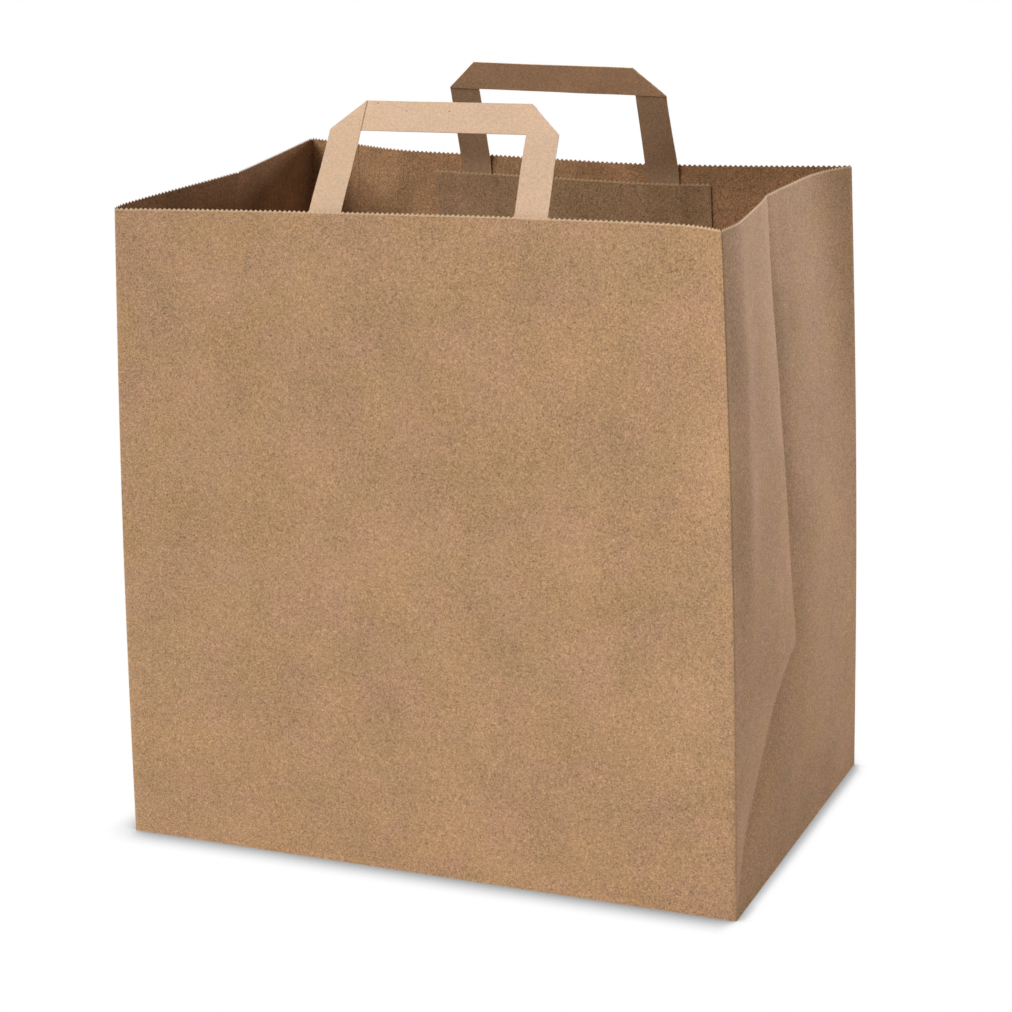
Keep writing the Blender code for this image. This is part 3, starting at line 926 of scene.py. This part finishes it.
# %% [markdown]
# ## White table, soft light
# The photo is a plain catalogue picture: white everywhere, one soft light from the left front,
# one from above, and one from the right behind. The first two are wide sun lamps, which light
# the whole table evenly. The third is a square lamp close to the bag, because the right side
# grows lighter towards the back and only a lamp with a place does that. The table glows only for
# rays that see it directly, and its glow is dimmed where the bag is near, which gives a short
# contact shadow that no lamp has to cast.

# %% What is seen directly
def seen_directly(tree):
    """1 for rays that a viewer sees the white with, straight, mirrored or through glass."""
    seen = add_node(tree, "ShaderNodeLightPath")
    straight = add_node(tree, "ShaderNodeMath", {
        0: seen.outputs["Is Camera Ray"], 1: seen.outputs["Is Glossy Ray"],
    }, operation="MAXIMUM").outputs[0]
    return add_node(tree, "ShaderNodeMath", {
        0: straight, 1: seen.outputs["Is Transmission Ray"],
    }, operation="MAXIMUM").outputs[0]


# %% Floor
floor_radius = 4
shadow_reach = 20 * MM
side_blend = 6 * MM
bm = bmesh.new()
bmesh.ops.create_circle(bm, cap_ends=True, segments=96, radius=floor_radius)
floor_mesh = bpy.data.meshes.new("floor")
bm.to_mesh(floor_mesh)
bm.free()
floor = bpy.data.objects.new("floor", floor_mesh)
bpy.context.scene.collection.objects.link(floor)
white = bpy.data.materials.new("white_table")
white.use_nodes = True
tree = white.node_tree
shader = tree.nodes["Principled BSDF"]
shader.inputs["Roughness"].default_value = 0.9
shader.inputs["Specular IOR Level"].default_value = 0.0
seen_direct = seen_directly(tree)
hidden = add_node(tree, "ShaderNodeAmbientOcclusion", {"Distance": shadow_reach}, samples=8).outputs["AO"]

# The painted contact shadow is made shorter on the right of the bag
place = add_node(tree, "ShaderNodeTexCoord").outputs["Object"]
across = add_node(tree, "ShaderNodeSeparateXYZ", {0: place}).outputs["X"]
painted_shadow_fade_end = add_node(tree, "ShaderNodeMapRange", {
    "Value": across, "From Min": half_width - side_blend, "From Max": half_width + side_blend,
    "To Min": 0.97, "To Max": 0.74,
}).outputs[0]
open_share = add_node(tree, "ShaderNodeMapRange", {
    "Value": hidden, "From Min": 0.5, "From Max": painted_shadow_fade_end, "To Min": 0.33, "To Max": 1.0,
}).outputs[0]
shaded = add_node(tree, "ShaderNodeCombineXYZ", {0: open_share, 1: open_share, 2: open_share}).outputs[0]
tree.links.new(shaded, shader.inputs["Emission Color"])
tree.links.new(seen_direct, shader.inputs["Emission Strength"])
table = add_node(tree, "ShaderNodeMix", {
    "Factor": seen_direct, 6: colour_of("e7e7e7"), 7: colour_of("000000"),
}, data_type="RGBA")
tree.links.new(table.outputs[2], shader.inputs["Base Color"])
floor_mesh.materials.append(white)

# %% World
ambient = 0.05
world = bpy.data.worlds.new("studio")
bpy.context.scene.world = world
world.use_nodes = True
tree = world.node_tree
background = tree.nodes["Background"]
seen_direct = seen_directly(tree)
strength = add_node(tree, "ShaderNodeMapRange", {
    "Value": seen_direct, "To Min": ambient, "To Max": 1.0,
})
tree.links.new(strength.outputs[0], background.inputs["Strength"])
background.inputs["Color"].default_value = (1, 1, 1, 1)


# %% Lamps
def soft_sun(name, azimuth, elevation, strength, width, colour="ffffff"):
    """A wide sun lamp that shines from an azimuth round the bag, 0 being its front."""
    light = bpy.data.lights.new(name, "SUN")
    light.energy = strength
    light.angle = radians(width)
    light.color = colour_of(colour)[:3]
    lamp = bpy.data.objects.new(name, light)
    turn_to, lift = radians(azimuth), radians(elevation)
    toward = Vector((sin(turn_to) * cos(lift), -cos(turn_to) * cos(lift), sin(lift)))
    lamp.rotation_mode = "QUATERNION"
    lamp.rotation_quaternion = toward.to_track_quat("Z", "Y")
    bpy.context.scene.collection.objects.link(lamp)
    return lamp


def soft_box(name, place, aim, size, watts, colour):
    """A square lamp with a place, so that what is near it is lit more than what is far."""
    light = bpy.data.lights.new(name, "AREA")
    light.energy, light.size = watts, size
    light.color = colour_of(colour)[:3]
    lamp = bpy.data.objects.new(name, light)
    lamp.location = place
    lamp.rotation_mode = "QUATERNION"
    lamp.rotation_quaternion = (Vector(place) - Vector(aim)).to_track_quat("Z", "Y")
    bpy.context.scene.collection.objects.link(lamp)
    return lamp


soft_sun("left_front_softbox", -48, 34, 2.4, 45)
soft_sun("top_softbox", 0, 88, 1.3, 60)
right_side_middle = (half_width, 0, 0.2)
soft_box("right_rear_softbox", (0.42, 0.62, 0.42), right_side_middle, 0.3, 3.2, "f6f0f6")

# %% [markdown]
# ## The camera
# The camera stands where a line fit to the bag's corners puts it: low, to the right of the
# front, tilted by a degree or two. Its lens is long, so the upright edges stay nearly parallel.

# %% Camera
image_size = 1012
focal_px = 2600.0
camera_place = (0.5770, -1.3308, 0.6093)
azimuth, elevation, roll = radians(23.174), radians(16.424), radians(-1.608)
camera_data = bpy.data.cameras.new("camera")
camera_data.lens = focal_px / image_size * camera_data.sensor_width
camera = bpy.data.objects.new("camera", camera_data)
bpy.context.scene.collection.objects.link(camera)
back = Vector((sin(azimuth) * cos(elevation), -cos(azimuth) * cos(elevation), sin(elevation)))
level_right = Vector((cos(azimuth), sin(azimuth), 0))
level_up = back.cross(level_right)
right = level_right * cos(roll) + level_up * sin(roll)
up = level_up * cos(roll) - level_right * sin(roll)
turned = Matrix((right, up, back)).transposed().to_4x4()
camera.matrix_world = Matrix.Translation(camera_place) @ turned
bpy.context.scene.camera = camera
bpy.context.scene.view_settings.view_transform = "Standard"
